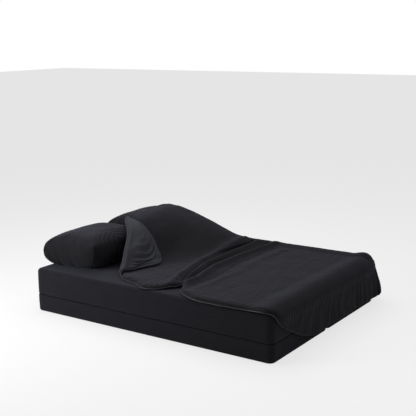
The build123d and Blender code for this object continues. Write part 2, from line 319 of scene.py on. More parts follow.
# Foam sheets. Each section holds three sheets of foam stacked loose in the cover: a
# base, a firmer support and a softer comfort sheet on top. They are cut with square
# sides, and their open cells show as fine pores.
foam_colours = {
    "base_foam": ((0.30, 0.30, 0.32), (0.40, 0.40, 0.43)),
    "support_foam": ((0.42, 0.42, 0.44), (0.52, 0.52, 0.55)),
    "comfort_foam": ((0.62, 0.60, 0.55), (0.72, 0.70, 0.66)),
}


def dress_node(name, material):
    """Gives its material to a CAD node that is shown as it is."""
    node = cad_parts[name]
    node.data.materials.clear()
    node.data.materials.append(material)


for foam, (dark, light) in foam_colours.items():
    foam_cells, _ = grained_material(
        foam + "_cells",
        scale=420.0,
        detail=4.0,
        dark=dark,
        light=light,
        strength=0.7,
        distance=0.001,
        roughness=0.95,
    )
    for side in sides:
        dress_node(f"{side}_{foam}", foam_cells)


# Covers. Each section has a removable cover of brushed stretch fabric in two halves, a
# tray below and a lid above, which a zip joins all round. The fabric is pulled snug, so
# the sides swell a little between the edges and the edges are softly rounded.
cover_corner = 0.042
cover_cloth = 0.0016
top_edge = 0.022
bottom_edge = 0.011
side_swell = 0.0035
side_ripple = 0.0016
side_ripple_size = 0.12
small_ripple_size = 0.04
small_ripple_share = 0.5
small_ripple_squash = 3
seam_middle = (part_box("near_zip_chain")[0].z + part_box("near_zip_chain")[1].z) / 2
seam_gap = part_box("near_zip_chain")[1].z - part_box("near_zip_chain")[0].z
seam_tuck = 0.003
hem_turn = 0.002
hem_swell = 0.25
swell_start = 0.3
swell_run = 0.5
edge_swell = 0.6
first_side_line = 0.03
side_lines = 12
edge_lines = 8
panel_lines = 16
panel_middle_gap = 0.004
tray_seed = 5
# The lines of the turned hem: how far in they lie, how far from the seam, and what share
# of the side's swell they have.
hem_lines = (
    (seam_tuck + hem_turn, 0.004, 0.0),
    (seam_tuck, 0.001, 0.0),
    (0.0012, 0.0002, 0.1),
    (0.0002, 0.0016, hem_swell),
)

cover_fabric, cover_shader = new_material("brushed_cover_cloth", roughness=0.93, sheen=0.08, specular=0.15)
streaks = placed_noise(cover_fabric, scale=14.0, detail=6.0, stretch=(1.0, 6.0, 9.0))
streak_dark = (0.0082, 0.0078, 0.0104)
streak_light = (0.0111, 0.0106, 0.0140)
colour_by(cover_fabric, cover_shader, streaks.outputs["Fac"], streak_dark, streak_light)
pile = placed_noise(cover_fabric, scale=260.0, detail=4.0, stretch=(1.0, 3.0, 4.0))
pile_bump = bump_from(cover_fabric, cover_shader, pile.outputs["Fac"], strength=0.35, distance=0.001)
bump_from(cover_fabric, cover_shader, streaks.outputs["Fac"], strength=0.25, distance=0.002, under=pile_bump)


def ripple(point, size, seed=0.0):
    """Smooth noise from -1 to 1 at a point, with features of about that size."""
    return noise.noise(Vector(point) / size + Vector((seed, seed, seed)))


def cover_half(name, low, high, profile, joined_y, seed):
    """A lid or tray: rings of the outline at each inset, height and swell of a profile."""
    points = []
    for inset, z, swell in profile:
        ring, outward = rounded_outline(low, high, cover_corner, inset)
        for (x, y), (out_x, out_y) in zip(ring, outward):
            clear = min(1.0, abs(y - joined_y) / top_edge)
            wave = ripple((x, y, z), side_ripple_size, seed)
            wave += small_ripple_share * ripple((x, y, small_ripple_squash * z), small_ripple_size, seed)
            push = clear * swell * (side_swell + side_ripple * wave)
            points.append((x + out_x * push, y + out_y * push, z))
    around = len(ring)
    faces = ring_faces(len(profile), around)
    last = (len(profile) - 1) * around
    faces.append(tuple(range(last, last + around)))
    if profile[-1][1] < profile[0][1]:
        faces = [tuple(reversed(face)) for face in faces]
    cover = make_piece(name, points, faces)
    wall = cover.modifiers.new("cloth", "SOLIDIFY")
    wall.thickness = cover_cloth
    wall.offset = -1
    return set_mesh(cover)


def side_profile(seam_edge, far_edge, edge_radius):
    """From the turned hem at the seam along the side, round the edge, to the middle of the panel."""
    toward = 1 if far_edge > seam_edge else -1
    profile = [(inset, seam_edge + toward * away, swell) for inset, away, swell in hem_lines]
    side_end = far_edge - toward * edge_radius
    for share in np.linspace(first_side_line, 1.0, side_lines):
        z = seam_edge + (side_end - seam_edge) * share
        fullness = math.sin(math.pi * (swell_run * share + swell_start))
        profile.append((0.0, z, hem_swell + (1 - hem_swell) * fullness))
    for angle in np.linspace(0, math.pi / 2, edge_lines)[1:]:
        inset = edge_radius * (1 - math.cos(angle))
        z = side_end + toward * edge_radius * math.sin(angle)
        profile.append((inset, z, edge_swell * math.cos(angle)))
    reach = section_width / 2 - panel_middle_gap
    for inset in np.linspace(edge_radius, reach, panel_lines)[1:]:
        profile.append((inset, far_edge, 0.0))
    return profile


for seed, side in enumerate(sides):
    low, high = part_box(f"{side}_upper_cover")
    lower_low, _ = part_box(f"{side}_lower_cover")
    joined = corner.y + section_width
    lid_profile = side_profile(seam_middle + seam_gap / 2, bed_top, top_edge)
    lid = cover_half(f"{side}_cover_lid", low, high, lid_profile, joined, seed)
    finish_piece(lid, cover_fabric, section_bodies[side], "cover_fabric", f"{side}_upper_cover")
    tray_profile = side_profile(seam_middle - seam_gap / 2, lower_low.z, bottom_edge)
    tray = cover_half(f"{side}_cover_tray", low, high, tray_profile, joined, seed + tray_seed)
    finish_piece(tray, cover_fabric, section_bodies[side], "cover_fabric", f"{side}_lower_cover")


# Zips of the covers. A nylon coil zip runs all round each section in the groove between
# the cover's two halves: a tape behind, and the coil's turns in front of it. Its metal
# slider and pull tab rest at the head end.
coil_pitch = 0.003
coil_wire = 0.0006
coil_height = 0.0042
coil_inset = 0.0022
coil_wire_sides = 6
tape_inset = 0.0032
tape_thickness = 0.0006

zip_nylon, _ = grained_material(
    "black_nylon",
    scale=500.0,
    dark=(0.004, 0.004, 0.005),
    light=(0.007, 0.007, 0.008),
    roughness=0.6,
    specular=0.12,
)
dark_metal, _ = grained_material(
    "dark_plated_metal",
    scale=180.0,
    dark=(0.010, 0.010, 0.011),
    light=(0.028, 0.028, 0.030),
    strength=0.15,
    distance=0.0004,
    roughness=0.32,
    metallic=1.0,
)


def coil_tree():
    """Geometry Nodes tree that sets a turn of the coil at every pitch along a path."""
    sizes = [(size, "Float") for size in ("Coil pitch", "Wire radius", "Coil height")]
    tree, source, result = start_tree("coil_zip", sizes + [("Nylon", "Material")])
    nodes = tree.nodes
    links = tree.links
    steps = nodes.new("GeometryNodeResampleCurve")
    steps.mode = "LENGTH"
    links.new(source.outputs["Geometry"], steps.inputs["Curve"])
    links.new(source.outputs["Coil pitch"], steps.inputs["Length"])
    turn = nodes.new("GeometryNodeMeshCylinder")
    turn.inputs["Vertices"].default_value = coil_wire_sides
    links.new(source.outputs["Wire radius"], turn.inputs["Radius"])
    links.new(source.outputs["Coil height"], turn.inputs["Depth"])
    tangent = nodes.new("GeometryNodeInputTangent")
    along = nodes.new("FunctionNodeAlignRotationToVector")
    along.axis = "X"
    along.pivot_axis = "Z"
    links.new(tangent.outputs["Tangent"], along.inputs["Vector"])
    wind = nodes.new("GeometryNodeInstanceOnPoints")
    links.new(steps.outputs["Curve"], wind.inputs["Points"])
    links.new(turn.outputs["Mesh"], wind.inputs["Instance"])
    links.new(along.outputs["Rotation"], wind.inputs["Rotation"])
    realize = nodes.new("GeometryNodeRealizeInstances")
    links.new(wind.outputs["Instances"], realize.inputs["Geometry"])
    paint = nodes.new("GeometryNodeSetMaterial")
    links.new(realize.outputs["Geometry"], paint.inputs["Geometry"])
    links.new(source.outputs["Nylon"], paint.inputs["Material"])
    links.new(paint.outputs["Geometry"], result.inputs["Geometry"])
    return tree


def path_curve(name, points, closed):
    """A path for a coil or a cord to follow."""
    curve = bpy.data.curves.new(name, "CURVE")
    curve.dimensions = "3D"
    spline = curve.splines.new("POLY")
    spline.points.add(len(points) - 1)
    for target, point in zip(spline.points, points):
        target.co = (*point, 1)
    spline.use_cyclic_u = closed
    return add_object(name, curve)


coil = coil_tree()
coil_values = {
    "Coil pitch": coil_pitch,
    "Wire radius": coil_wire,
    "Coil height": coil_height,
    "Nylon": zip_nylon,
}
for side in sides:
    low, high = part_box(f"{side}_upper_cover")
    line, _ = rounded_outline(low, high, cover_corner, coil_inset)
    teeth = path_curve(f"{side}_zip_coil", [(x, y, seam_middle) for x, y in line], True)
    teeth = run_tree(teeth, coil, coil_values)
    finish_piece(teeth, None, section_bodies[side], "zip_nylon", f"{side}_zip_chain")
    front, _ = rounded_outline(low, high, cover_corner, tape_inset)
    back, _ = rounded_outline(low, high, cover_corner, tape_inset + tape_thickness)
    tape_low = seam_middle - seam_gap
    tape_high = seam_middle + seam_gap
    tape_corners = ((front, tape_low), (front, tape_high), (back, tape_high), (back, tape_low))
    rings = [np.column_stack((ring, np.full(len(ring), z))) for ring, z in tape_corners]
    around = len(front)
    whole = len(rings) * around
    faces = [tuple(point % whole for point in face) for face in ring_faces(len(rings) + 1, around)]
    tape = make_piece(f"{side}_zip_tape", np.vstack(rings), faces, smooth=False)
    finish_piece(tape, zip_nylon, section_bodies[side], "zip_nylon", f"{side}_zip_chain")
    dress_node(f"{side}_zip_slider", dark_metal)
    dress_node(f"{side}_zip_pull", dark_metal)


# Pillows. Two thick back cushions serve as pillows at the head end. Each is a sewn case
# of ribbed plush, stuffed plump with fibre, so the sides pull in between the corners,
# the seams pucker, and the case lies flat only where it rests on the bed.
lid_clearance = 0.0003
rest_height = bed_top + lid_clearance
case_clearance = 0.0002
filling_clearance = 0.003
rib_pitch = 0.022
rib_depth = 0.0026
pillow_rib_pitch = 0.028
pillow_rib_depth = 0.0034
rib_slant = 1.0
rib_slant_reach = 0.40
resting_reach = 0.001
pillow_columns = 62
pillow_rows = 84
even_columns_share = 0.35
even_rows_share = 0.08
pillow_edge_shapes = {"near": 3.8, "far": 5.0}
pillow_edge_rise = 0.5
least_rise = 1e-4
pillow_draw_in = 0.016
pillow_draw_in_power = 9
pillow_corner_pull = 0.10
pillow_corner_power = 4
pillow_corner_blend = 6
pillow_belly = 0.165
pillow_crowns = {"near": 0.247, "far": 0.256}
pillow_end_crown_share = 0.93
pillow_seam_low = 0.118
pillow_seam_slope = 0.055
pillow_lump = 0.004
pillow_lump_size = 0.14
pillow_seeds = {"near": 3, "far": 7}
pillow_pressure = 4.0
pillow_swell_cap = 0.010
pillow_swell_frames = 20
least_move = 1e-9
zip_clearance = 0.002
zip_draw_slope = 1.5
filling_share = 0.93

plush, plush_shader = new_material("ribbed_plush", roughness=0.95, sheen=0.12, specular=0.12)
plush_pile = placed_noise(plush, scale=380.0, detail=5.0)
plush_shade = placed_noise(plush, scale=9.0, detail=4.0)
# The plush colour mixes a random tone with painted shade: the ribs' valleys, kept in the rib attribute, are
# painted darker than their crests.
plush_rib_shade = plush.node_tree.nodes.new("ShaderNodeAttribute")
plush_rib_shade.attribute_name = "rib"
rib_shade_share = 0.5
plush_tone_and_rib_shade = add_node(plush, "ShaderNodeMix", Factor=rib_shade_share)
wire(plush, plush_shade.outputs["Fac"], plush_tone_and_rib_shade.inputs["A"])
wire(plush, plush_rib_shade.outputs["Fac"], plush_tone_and_rib_shade.inputs["B"])
plush_dark = (0.0050, 0.0044, 0.0055)
plush_light = (0.0112, 0.0101, 0.0121)
colour_by(plush, plush_shader, plush_tone_and_rib_shade.outputs["Result"], plush_dark, plush_light)
bump_from(plush, plush_shader, plush_pile.outputs["Fac"], strength=0.5, distance=0.0015)
fibre, _ = grained_material(
    "white_fibre",
    scale=120.0,
    detail=6.0,
    dark=(0.55, 0.55, 0.55),
    light=(0.75, 0.75, 0.74),
    strength=0.8,
    distance=0.004,
    roughness=0.95,
    sheen=0.3,
)


def edge_rise(place, shape):
    """How far a stuffed panel has risen at a place from 0 to 1 between its two seams."""
    return (1 - abs(2 * place - 1) ** shape) ** pillow_edge_rise


def swelling(a, b, shape):
    """How full the case is at a place in its panel: blunt at the corners, where two rises meet."""
    rises = (max(edge_rise(a, shape), least_rise), max(edge_rise(b, shape), least_rise))
    return (sum(rise**-pillow_corner_blend for rise in rises) - 1) ** (-1 / pillow_corner_blend)


def crowded(count, even_share):
    """Places from 0 to 1 that crowd at both ends, where the case turns down to its seam."""
    spread = 0.5 - 0.5 * np.cos(np.linspace(0, math.pi, count + 1))
    return even_share * np.linspace(0, 1, count + 1) + (1 - even_share) * spread


def pillow_case(name, low, high, crown, shape, seed):
    """Two panels that share the points of the seam, with each point's place in the flat panel as UV."""
    length = high.x - low.x
    width = high.y - low.y
    across = crowded(pillow_columns, even_columns_share)
    along = crowded(pillow_rows, even_rows_share)
    points = []
    flat = []
    index = {}
    for panel in (1, -1):
        for column, a in enumerate(across):
            for row, b in enumerate(along):
                on_seam = column in (0, pillow_columns) or row in (0, pillow_rows)
                if panel < 0 and on_seam:
                    index[panel, column, row] = index[1, column, row]
                    continue
                index[panel, column, row] = len(points)
                rise = 0.0 if on_seam else swelling(a, b, shape)
                seam = rest_height + pillow_seam_low + pillow_seam_slope * a
                corner_share = (max(0.0, 2 * a - 1) * abs(2 * b - 1)) ** pillow_corner_power
                pull = 1 - pillow_corner_pull * corner_share
                side_pull = pillow_draw_in * 4 * a * (1 - a) * (2 * b - 1) ** pillow_draw_in_power
                end_pull = 4 * b * (1 - b) * max(0.0, 2 * a - 1) ** pillow_draw_in_power
                x = low.x + length * (0.5 + (a - 0.5) * pull) - pillow_draw_in * end_pull
                y = low.y + width * (0.5 + (b - 0.5) * pull) - side_pull
                if panel > 0:
                    arch = pillow_end_crown_share + (1 - pillow_end_crown_share) * math.sin(math.pi * a)
                    z = seam + (rest_height + crown - seam) * rise * arch
                else:
                    z = max(rest_height + case_clearance, seam - pillow_belly * rise)
                z += pillow_lump * rise * ripple((x, y, z), pillow_lump_size, seed)
                points.append((x, y, max(rest_height + case_clearance, z)))
                flat.append((a * length, b * width))
    faces = []
    for panel in (1, -1):
        for column in range(pillow_columns):
            for row in range(pillow_rows):
                ring = [index[panel, column + i, row + j] for i, j in ((0, 0), (1, 0), (1, 1), (0, 1))]
                faces.append(tuple(ring if panel > 0 else reversed(ring)))
    case = make_piece(name, points, faces)
    layer = case.data.uv_layers.new(name="flat_place")
    spots = np.array(flat)[[loop.vertex_index for loop in case.data.loops]]
    layer.data.foreach_set("uv", spots.ravel())
    seam_group = case.vertex_groups.new(name="seam")
    seam_group.add([index[1, c, r] for c in range(pillow_columns + 1) for r in (0, pillow_rows)], 1.0, "ADD")
    seam_group.add([index[1, c, r] for c in (0, pillow_columns) for r in range(pillow_rows + 1)], 1.0, "ADD")
    held = case.vertex_groups.new(name="held")
    held.add([index[1, 0, r] for r in range(pillow_rows + 1)], 1.0, "ADD")
    return case


def points_of(piece):
    return np.array([vertex.co for vertex in piece.data.vertices])


def move_points(piece, place):
    piece.data.vertices.foreach_set("co", place.ravel())
    piece.data.update()


def swell(piece, cap, pressure):
    """Lets air pressure fill a sewn case, and keeps how far it moved within a cap."""
    before = points_of(piece)
    cloth = piece.modifiers.new("swell", "CLOTH")
    settings = cloth.settings
    settings.quality = 5
    settings.mass = 0.3
    settings.tension_stiffness = 12
    settings.compression_stiffness = 8
    settings.shear_stiffness = 5
    settings.bending_stiffness = 0.6
    settings.use_pressure = True
    settings.uniform_pressure_force = pressure
    settings.effector_weights.gravity = 0
    settings.vertex_group_shrink = "seam"
    settings.shrink_min = -0.025
    settings.shrink_max = 0.07
    settings.vertex_group_mass = "held"
    cloth.collision_settings.use_collision = False
    cloth.point_cache.frame_start = 1
    cloth.point_cache.frame_end = pillow_swell_frames
    for frame_number in range(1, pillow_swell_frames + 1):
        bpy.context.scene.frame_set(frame_number)
    graph = bpy.context.evaluated_depsgraph_get()
    after = points_of(piece.evaluated_get(graph))
    piece.modifiers.clear()
    bpy.context.scene.frame_set(1)
    move = after - before
    size = np.maximum(np.linalg.norm(move, axis=1, keepdims=True), least_move)
    move_points(piece, before + move * np.minimum(1.0, cap / size))


def settle(piece, floor_height):
    """Keeps a piece's points from sinking below what it rests on."""
    place = points_of(piece)
    place[:, 2] = np.maximum(place[:, 2], floor_height)
    move_points(piece, place)


def press_ribs(piece):
    """Raises rounded ribs that run across the pillow and meet at a slant in its side seams."""
    mesh = piece.data
    count = len(mesh.vertices)
    flat = np.zeros(2 * len(mesh.loops))
    mesh.uv_layers["flat_place"].data.foreach_get("uv", flat)
    loop_points = np.zeros(len(mesh.loops), int)
    mesh.loops.foreach_get("vertex_index", loop_points)
    along = np.zeros(count)
    side = np.zeros(count)
    along[loop_points] = flat.reshape(-1, 2)[:, 0]
    side[loop_points] = flat.reshape(-1, 2)[:, 1]
    side = np.minimum(side, side.max() - side)
    place = points_of(piece)
    seam_height = rest_height + pillow_seam_low + pillow_seam_slope * along / along.max()
    from_seam = side + np.abs(place[:, 2] - seam_height)
    along += rib_slant * rib_slant_reach * (1 - np.exp(-from_seam / rib_slant_reach))
    normal = np.array([vertex.normal for vertex in mesh.vertices])
    height = pillow_rib_depth * (np.sqrt(np.abs(np.cos(math.pi * along / pillow_rib_pitch))) - 1)
    resting = place[:, 2] < rest_height + resting_reach
    height[resting] = 0
    mesh.vertices.foreach_set("co", (place + normal * height[:, None]).ravel())
    # The rib's place from valley (0) to crest (1) is kept as the rib attribute, which paints shade into the
    # valleys of the plush colour.
    mesh.attributes.new("rib", "FLOAT", "POINT").data.foreach_set("value", 1 + height / pillow_rib_depth)
    mesh.update()


def clear_zip(piece, chain, slider):
    """Draws the case in round its zip, so that the slider runs free in front of it."""
    low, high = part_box(chain)
    slider_low, slider_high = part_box(slider)
    place = points_of(piece)
    away = np.abs(place[:, 2] - (low.z + high.z) / 2)
    aside = np.clip(low.y - place[:, 1], 0, None) + np.clip(place[:, 1] - high.y, 0, None)
    slider_reach = (slider_high.z - slider_low.z) / 2
    beyond = np.clip(np.hypot(away, aside) - slider_reach - zip_clearance, 0, None)
    place[:, 0] = np.maximum(place[:, 0], slider_high.x + zip_clearance - zip_draw_slope * beyond)
    move_points(piece, place)


for side in sides:
    low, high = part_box(f"{side}_pillow_cover")
    shape = pillow_edge_shapes[side]
    case = pillow_case(f"{side}_pillow_case", low, high, pillow_crowns[side], shape, pillow_seeds[side])
    swell(case, pillow_swell_cap, pillow_pressure)
    settle(case, rest_height + case_clearance)
    case_middle = (low + high) / 2
    filling_points = [case_middle + (v.co - case_middle) * filling_share for v in case.data.vertices]
    filling_faces = [tuple(polygon.vertices) for polygon in case.data.polygons]
    filling = make_piece(f"{side}_pillow_fibre", filling_points, filling_faces)
    settle(filling, rest_height + filling_clearance)
    finish_piece(filling, fibre, f"{side}_pillow", "wadding", f"{side}_pillow_filling")
    case.vertex_groups.clear()
    smooth = case.modifiers.new("smooth", "SUBSURF")
    smooth.levels = 1
    smooth.render_levels = 1
    set_mesh(case)
    press_ribs(case)
    clear_zip(case, f"{side}_pillow_zip_chain", f"{side}_pillow_zip_slider")
    settle(case, rest_height)
    finish_piece(case, plush, f"{side}_pillow", "pillow_fabric", f"{side}_pillow_cover")


# Pillow zips. A short coil zip closes each case in its head-end seam: a tape sewn in
# behind, the coil's turns in front of it, and a locking slider of metal without a pull.
pillow_zip_points = 40
for side in sides:
    low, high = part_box(f"{side}_pillow_zip_chain")
    middle = (low + high) / 2
    line = [(middle.x, y, middle.z) for y in np.linspace(low.y, high.y, pillow_zip_points)]
    pillow_coil = run_tree(path_curve(f"{side}_pillow_zip_coil", line, False), coil, coil_values)
    finish_piece(pillow_coil, None, f"{side}_pillow", "zip_nylon", f"{side}_pillow_zip_chain")
    back_x = high.x - tape_thickness
    tape_corners = ((back_x, low.z), (high.x, low.z), (high.x, high.z), (back_x, high.z))
    points = [(x, y, z) for y in (low.y, high.y) for x, z in tape_corners]
    faces = [(0, 1, 2, 3), (7, 6, 5, 4)] + [(k, k + 4, (k + 1) % 4 + 4, (k + 1) % 4) for k in range(4)]
    pillow_tape = make_piece(f"{side}_pillow_zip_tape", points, faces, smooth=False)
    finish_piece(pillow_tape, zip_nylon, f"{side}_pillow", "zip_nylon", f"{side}_pillow_zip_chain")
    dress_node(f"{side}_pillow_zip_slider", dark_metal)


# Quilt. A top cloth of the same ribbed plush, a layer of wadding and a satin lining, bound
# together round the edge. It lies over both pillows and the bed, with the near head corner
# turned back, pleats pushed up across the middle, and its foot and far sides hanging down.
quilt_thickness = 0.024
quilt_cloth = 0.002
quilt_edge_share = 0.34
quilt_edge_reach = 0.04
fold_gap = 0.0015
hump_height = 0.288
edge_bend = 0.018
droop_start = 0.004
droop_radius = 0.10
corner_turn = 0.042
corner_turn_power = 6
cone_power = 4
corner_press_reach = 0.11
edge_clearance = 0.001
foot_hem_height = 0.046
side_drop = 0.22
corner_flare = 0.062
hang_wave = 0.009
corner_round = 0.07
foot_corner_round = 0.23
flap_corner_round = 0.17
columns_per_rib = 4
column_step = rib_pitch / columns_per_rib
row_step = 0.0145
pleat_row_step = 0.0055
turn_row_step = 0.006
flap_row_step = 0.011
rim_row_step = 0.0037

pillow_low, pillow_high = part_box("near_pillow_cover")
pillow_length = pillow_high.x - pillow_low.x
pillow_width = pillow_high.y - pillow_low.y
pillow_start = pillow_low.y - corner.y
bend_radius = edge_bend + edge_clearance
bend_lean = math.tan(math.pi / 8)
bend_in = edge_bend - bend_radius * bend_lean
far_bend = bed_width - bend_in
side_start = far_bend + bend_radius * math.pi / 4 + edge_clearance
hem_top = bed_top - bend_in
whole_hang = hem_top - foot_hem_height
column_shares = (0.0, 0.15, 0.32, 0.5, 0.68, 0.82, 0.93)
side_places = (0.0, side_drop / 2, side_drop)

# Rows over the pillows: near and far places as shares of the pillow's length, the near
# edge as a share of its width, and the rise at each column as a share of the hump.
hump_row_shares = (
    (0.72, 0.40, 0.835, (0.97, 0.97, 0.97, 0.96, 0.93, 0.82, 0.52)),
    (0.99, 0.72, 0.620, (0.78, 0.88, 0.93, 0.95, 0.91, 0.81, 0.53)),
    (1.19, 1.10, 0.370, (0.40, 0.56, 0.67, 0.77, 0.77, 0.68, 0.43)),
    (1.415, 1.60, 0.080, (0.0, 0.0, 0.08, 0.26, 0.45, 0.40, 0.22)),
    (1.56, 1.82, 0.010, (0.0, 0.0, 0.02, 0.11, 0.23, 0.21, 0.10)),
    (1.79, 1.95, -0.03, (0.0, 0.0, 0.0, 0.02, 0.08, 0.08, 0.04)),
)
# Rows from there to the foot edge: near and far places as shares of the stretch left,
# the near edge as a share of a section's width, and the far side's share of the flare.
flat_row_shares = (
    (0.09, 0.02, 0.010, 0.0),
    (0.14, 0.06, 0.020, 0.0),
    (0.20, 0.14, 0.075, 0.0),
    (0.25, 0.21, 0.165, 0.0),
    (0.285, 0.26, 0.245, 0.0),
    (0.34, 0.34, 0.095, 0.0),
    (0.45, 0.45, 0.000, 0.0),
    (0.62, 0.62, -0.026, 0.0),
    (0.85, 0.85, -0.014, 0.4),
)
# Rows on the foot side: the drop as a share of the hang, and the near edge as a share
# of a section's width.
hang_row_shares = ((0.0, 0.004), (0.3, 0.12), (0.65, 0.34), (1.0, 0.61))
wave_shares = (0.0, 1.0, 0.2, 0.9, 0.1, 0.8, 0.0, 0.0)
foot_flare_shares = (0.0, 0.0, 0.0, 0.0, 0.0, 0.12, 0.4, 0.85)
edge_flare_share = 0.4
least_length = 1e-9


def net_row(x_near, x_far, y_near, heights, flare):
    """One row of the net that the quilt's underside follows, and each point's place across."""
    slope = (x_far - x_near) / (bed_width - y_near)
    places = [y_near + share * (far_bend - y_near) for share in column_shares] + [far_bend]
    points = [(x_near + slope * (y - y_near), y, z) for y, z in zip(places, heights)]
    for side in side_places:
        y = bed_width + edge_clearance + flare * edge_flare_share * corner_flare * side / whole_hang
        points.append((x_near + slope * (y - y_near), y, hem_top - side))
        places.append(side_start + side)
    return points, places


def corner_point(drop, side):
    """The cloth falls round the far foot corner in a flared cone."""
    turn = side / np.maximum(drop + side, least_length)
    fall = (drop**cone_power + side**cone_power) ** (1 / cone_power)
    flare = edge_flare_share + (1 - edge_flare_share) * 4 * turn * (1 - turn)
    out = edge_clearance + corner_flare * flare * fall / whole_hang
    angle = turn * math.pi / 2
    return (bed_length + out * np.cos(angle), bed_width + out * np.sin(angle), hem_top - fall)


def quilt_net():
    """The rows of the net that the quilt's underside follows, from the head edge to the foot edge."""
    rows = []
    for near, far, edge, rises in hump_row_shares:
        x_near = near * pillow_length
        x_far = far * pillow_length
        y_near = pillow_start + edge * pillow_width
        heights = [rest_height + rise * hump_height for rise in rises] + [bed_top + edge_clearance]
        rows.append(net_row(x_near, x_far, y_near, heights, 0))
    stretch = bed_length - bend_in - x_near
    far_stretch = bed_length - bend_in - x_far
    top = [rest_height] * len(column_shares) + [bed_top + edge_clearance]
    for near, far, edge, flare in flat_row_shares:
        y_near = edge * section_width
        rows.append(net_row(x_near + near * stretch, x_far + far * far_stretch, y_near, top, flare))
    bend = bed_length - bend_in
    bend_heights = [bed_top + edge_clearance] * (len(column_shares) + 1)
    rows.append(net_row(bend, bend, y_near, bend_heights, 1))
    for drop, edge in hang_row_shares:
        y_near = edge * section_width
        places = [y_near + share * (far_bend - y_near) for share in column_shares] + [far_bend]
        points = []
        for y, wave, flare in zip(places, wave_shares, foot_flare_shares):
            out = edge_clearance + drop * (wave * hang_wave + flare * edge_flare_share * corner_flare)
            points.append((bed_length + out, y, hem_top - drop * whole_hang))
        for side in side_places:
            points.append(corner_point(drop * whole_hang, side))
            places.append(side_start + side)
        rows.append((points, places))
    return np.array([row[0] for row in rows]), np.array([row[1] for row in rows])


def curve_through(knots, points, at):
    """A smooth curve through points at knots, read at places along it, straight beyond its ends."""
    steps = np.diff(knots)
    slopes = np.diff(points, axis=0) / steps[:, None]
    tangents = np.vstack((slopes[:1], slopes[1:], slopes[-1:]))
    share = (steps[:-1] / (steps[:-1] + steps[1:]))[:, None]
    tangents[1:-1] = slopes[:-1] * (1 - share) + slopes[1:] * share
    span = np.clip(np.searchsorted(knots, at) - 1, 0, len(steps) - 1)
    inside = np.clip(at, knots[0], knots[-1])
    t = ((inside - knots[span]) / steps[span])[:, None]
    step = steps[span][:, None]
    value = points[span] * (1 + 2 * t) * (1 - t) ** 2 + points[span + 1] * t * t * (3 - 2 * t)
    value += step * (tangents[span] * t * (1 - t) ** 2 - tangents[span + 1] * t * t * (1 - t))
    over = (at - inside)[:, None]
    return value + over * np.where(over < 0, tangents[0], tangents[-1])


net_points, net_places = quilt_net()
net_steps = np.linalg.norm(np.diff(net_points[:, 1 : len(column_shares)], axis=0), axis=2).mean(axis=1)
row_knots = np.concatenate(([0.0], np.cumsum(net_steps)))
fold_end_row = 3
foot_turn_row = len(hump_row_shares) + len(flat_row_shares)
quilt_width = net_places[0, -1]
quilt_length = row_knots[-1]


def net_at(rows):
    """The net's columns and their places across, read at places along the quilt."""
    width = net_points.shape[1]
    table = np.concatenate((net_points.reshape(len(row_knots), -1), net_places), axis=1)
    read = curve_through(row_knots, table, rows)
    return read[:, : 3 * width].reshape(len(rows), width, 3), read[:, 3 * width :]


def underside(rows, across):
    """Points of the smooth underside at places along (one per row) and across (a row of places each)."""
    columns, places = net_at(rows)
    points = np.array([curve_through(places[i], columns[i], across[i]) for i in range(len(rows))])
    points[..., 2] -= np.clip(droop_start - points[..., 1], 0, None) ** 2 / (2 * droop_radius)
    hang_start = row_knots[foot_turn_row + 1]
    drop = np.clip(rows - hang_start, 0, None) * whole_hang / (quilt_length - hang_start)
    drop = drop[:, None] + 0 * across
    side = np.clip(across - side_start, 0, None)
    at_corner = (drop > 0) & (side > 0)
    points[at_corner] = np.stack(corner_point(drop[at_corner], side[at_corner]), axis=-1)
    ahead = np.clip(points[..., 0] - (bed_length - corner_turn), 0, None)
    for middle, sign in ((corner_turn, -1), (bed_width - corner_turn, 1)):
        aside = np.clip(sign * (points[..., 1] - middle), 0, None)
        turned = (ahead**corner_turn_power + aside**corner_turn_power) ** (1 / corner_turn_power)
        share = turned / np.maximum(np.hypot(ahead, aside), least_length)
        share = np.where((ahead > 0) & (aside > 0), share, 1)
        if sign > 0:
            points[..., 0] += (share - 1) * ahead
        points[..., 1] += (share - 1) * aside * sign
    return points


# The pleats, each a ridge (up) or a pinched groove (down) along a route from the near
# edge to the far side: its places, its height and its half width. A pleat grows in over
# a stretch round the start of its route and fades out past the end.
pleat_lead = 0.11
pleat_grow = 0.24
pleat_fade = 0.08
pleats = (
    (((1.13, 0.14), (1.08, 0.30), (0.99, 0.68), (0.955, 1.05), (0.93, 1.40)), 0.023, 0.034),
    (((1.20, 0.20), (1.175, 0.29), (1.078, 0.62), (1.070, 1.00), (1.060, 1.40)), 0.029, 0.025),
    (((1.23, 0.16), (1.235, 0.30), (1.170, 0.60), (1.165, 0.95), (1.195, 1.42)), 0.028, 0.030),
    (((1.36, 0.20), (1.37, 0.60), (1.33, 1.00), (1.34, 1.30)), 0.005, 0.030),
)
grooves = (
    (((1.195, 0.17), (1.150, 0.27), (1.037, 0.68), (1.018, 1.05), (0.995, 1.40)), 0.95, 0.012),
    (((1.205, 0.20), (1.190, 0.29), (1.120, 0.62), (1.115, 0.95), (1.130, 1.42)), 0.95, 0.012),
    (((1.30, 0.12), (1.31, 0.40), (1.25, 0.80), (1.26, 1.30)), 0.25, 0.014),
)


def soft_step(value):
    """Runs smoothly from 0 to 1 as the value does."""
    value = np.clip(value, 0, 1)
    return value * value * (3 - 2 * value)


def along_routes(x, y, routes):
    """The sum of the pleats or grooves at places on the bed."""
    total = np.zeros_like(x)
    for route, height, half_width in routes:
        start, end = route[0][1], route[-1][1]
        middle = np.interp(y, [place[1] for place in route], [place[0] for place in route])
        fade = soft_step((y - start + pleat_lead) / pleat_grow) * (1 - soft_step((y - end) / pleat_fade))
        total += height * fade * np.exp(-(((x - middle) / half_width) ** 2))
    return total


def noise_field(points, size, seed, stretch=(1, 1, 1)):
    """Smooth noise from -1 to 1 at every point, with features of about that size."""
    flat = (np.asarray(points) * stretch / size + seed).reshape(-1, 3)
    values = [noise.noise(Vector(point)) for point in flat]
    return np.array(values).reshape(np.shape(points)[:-1])


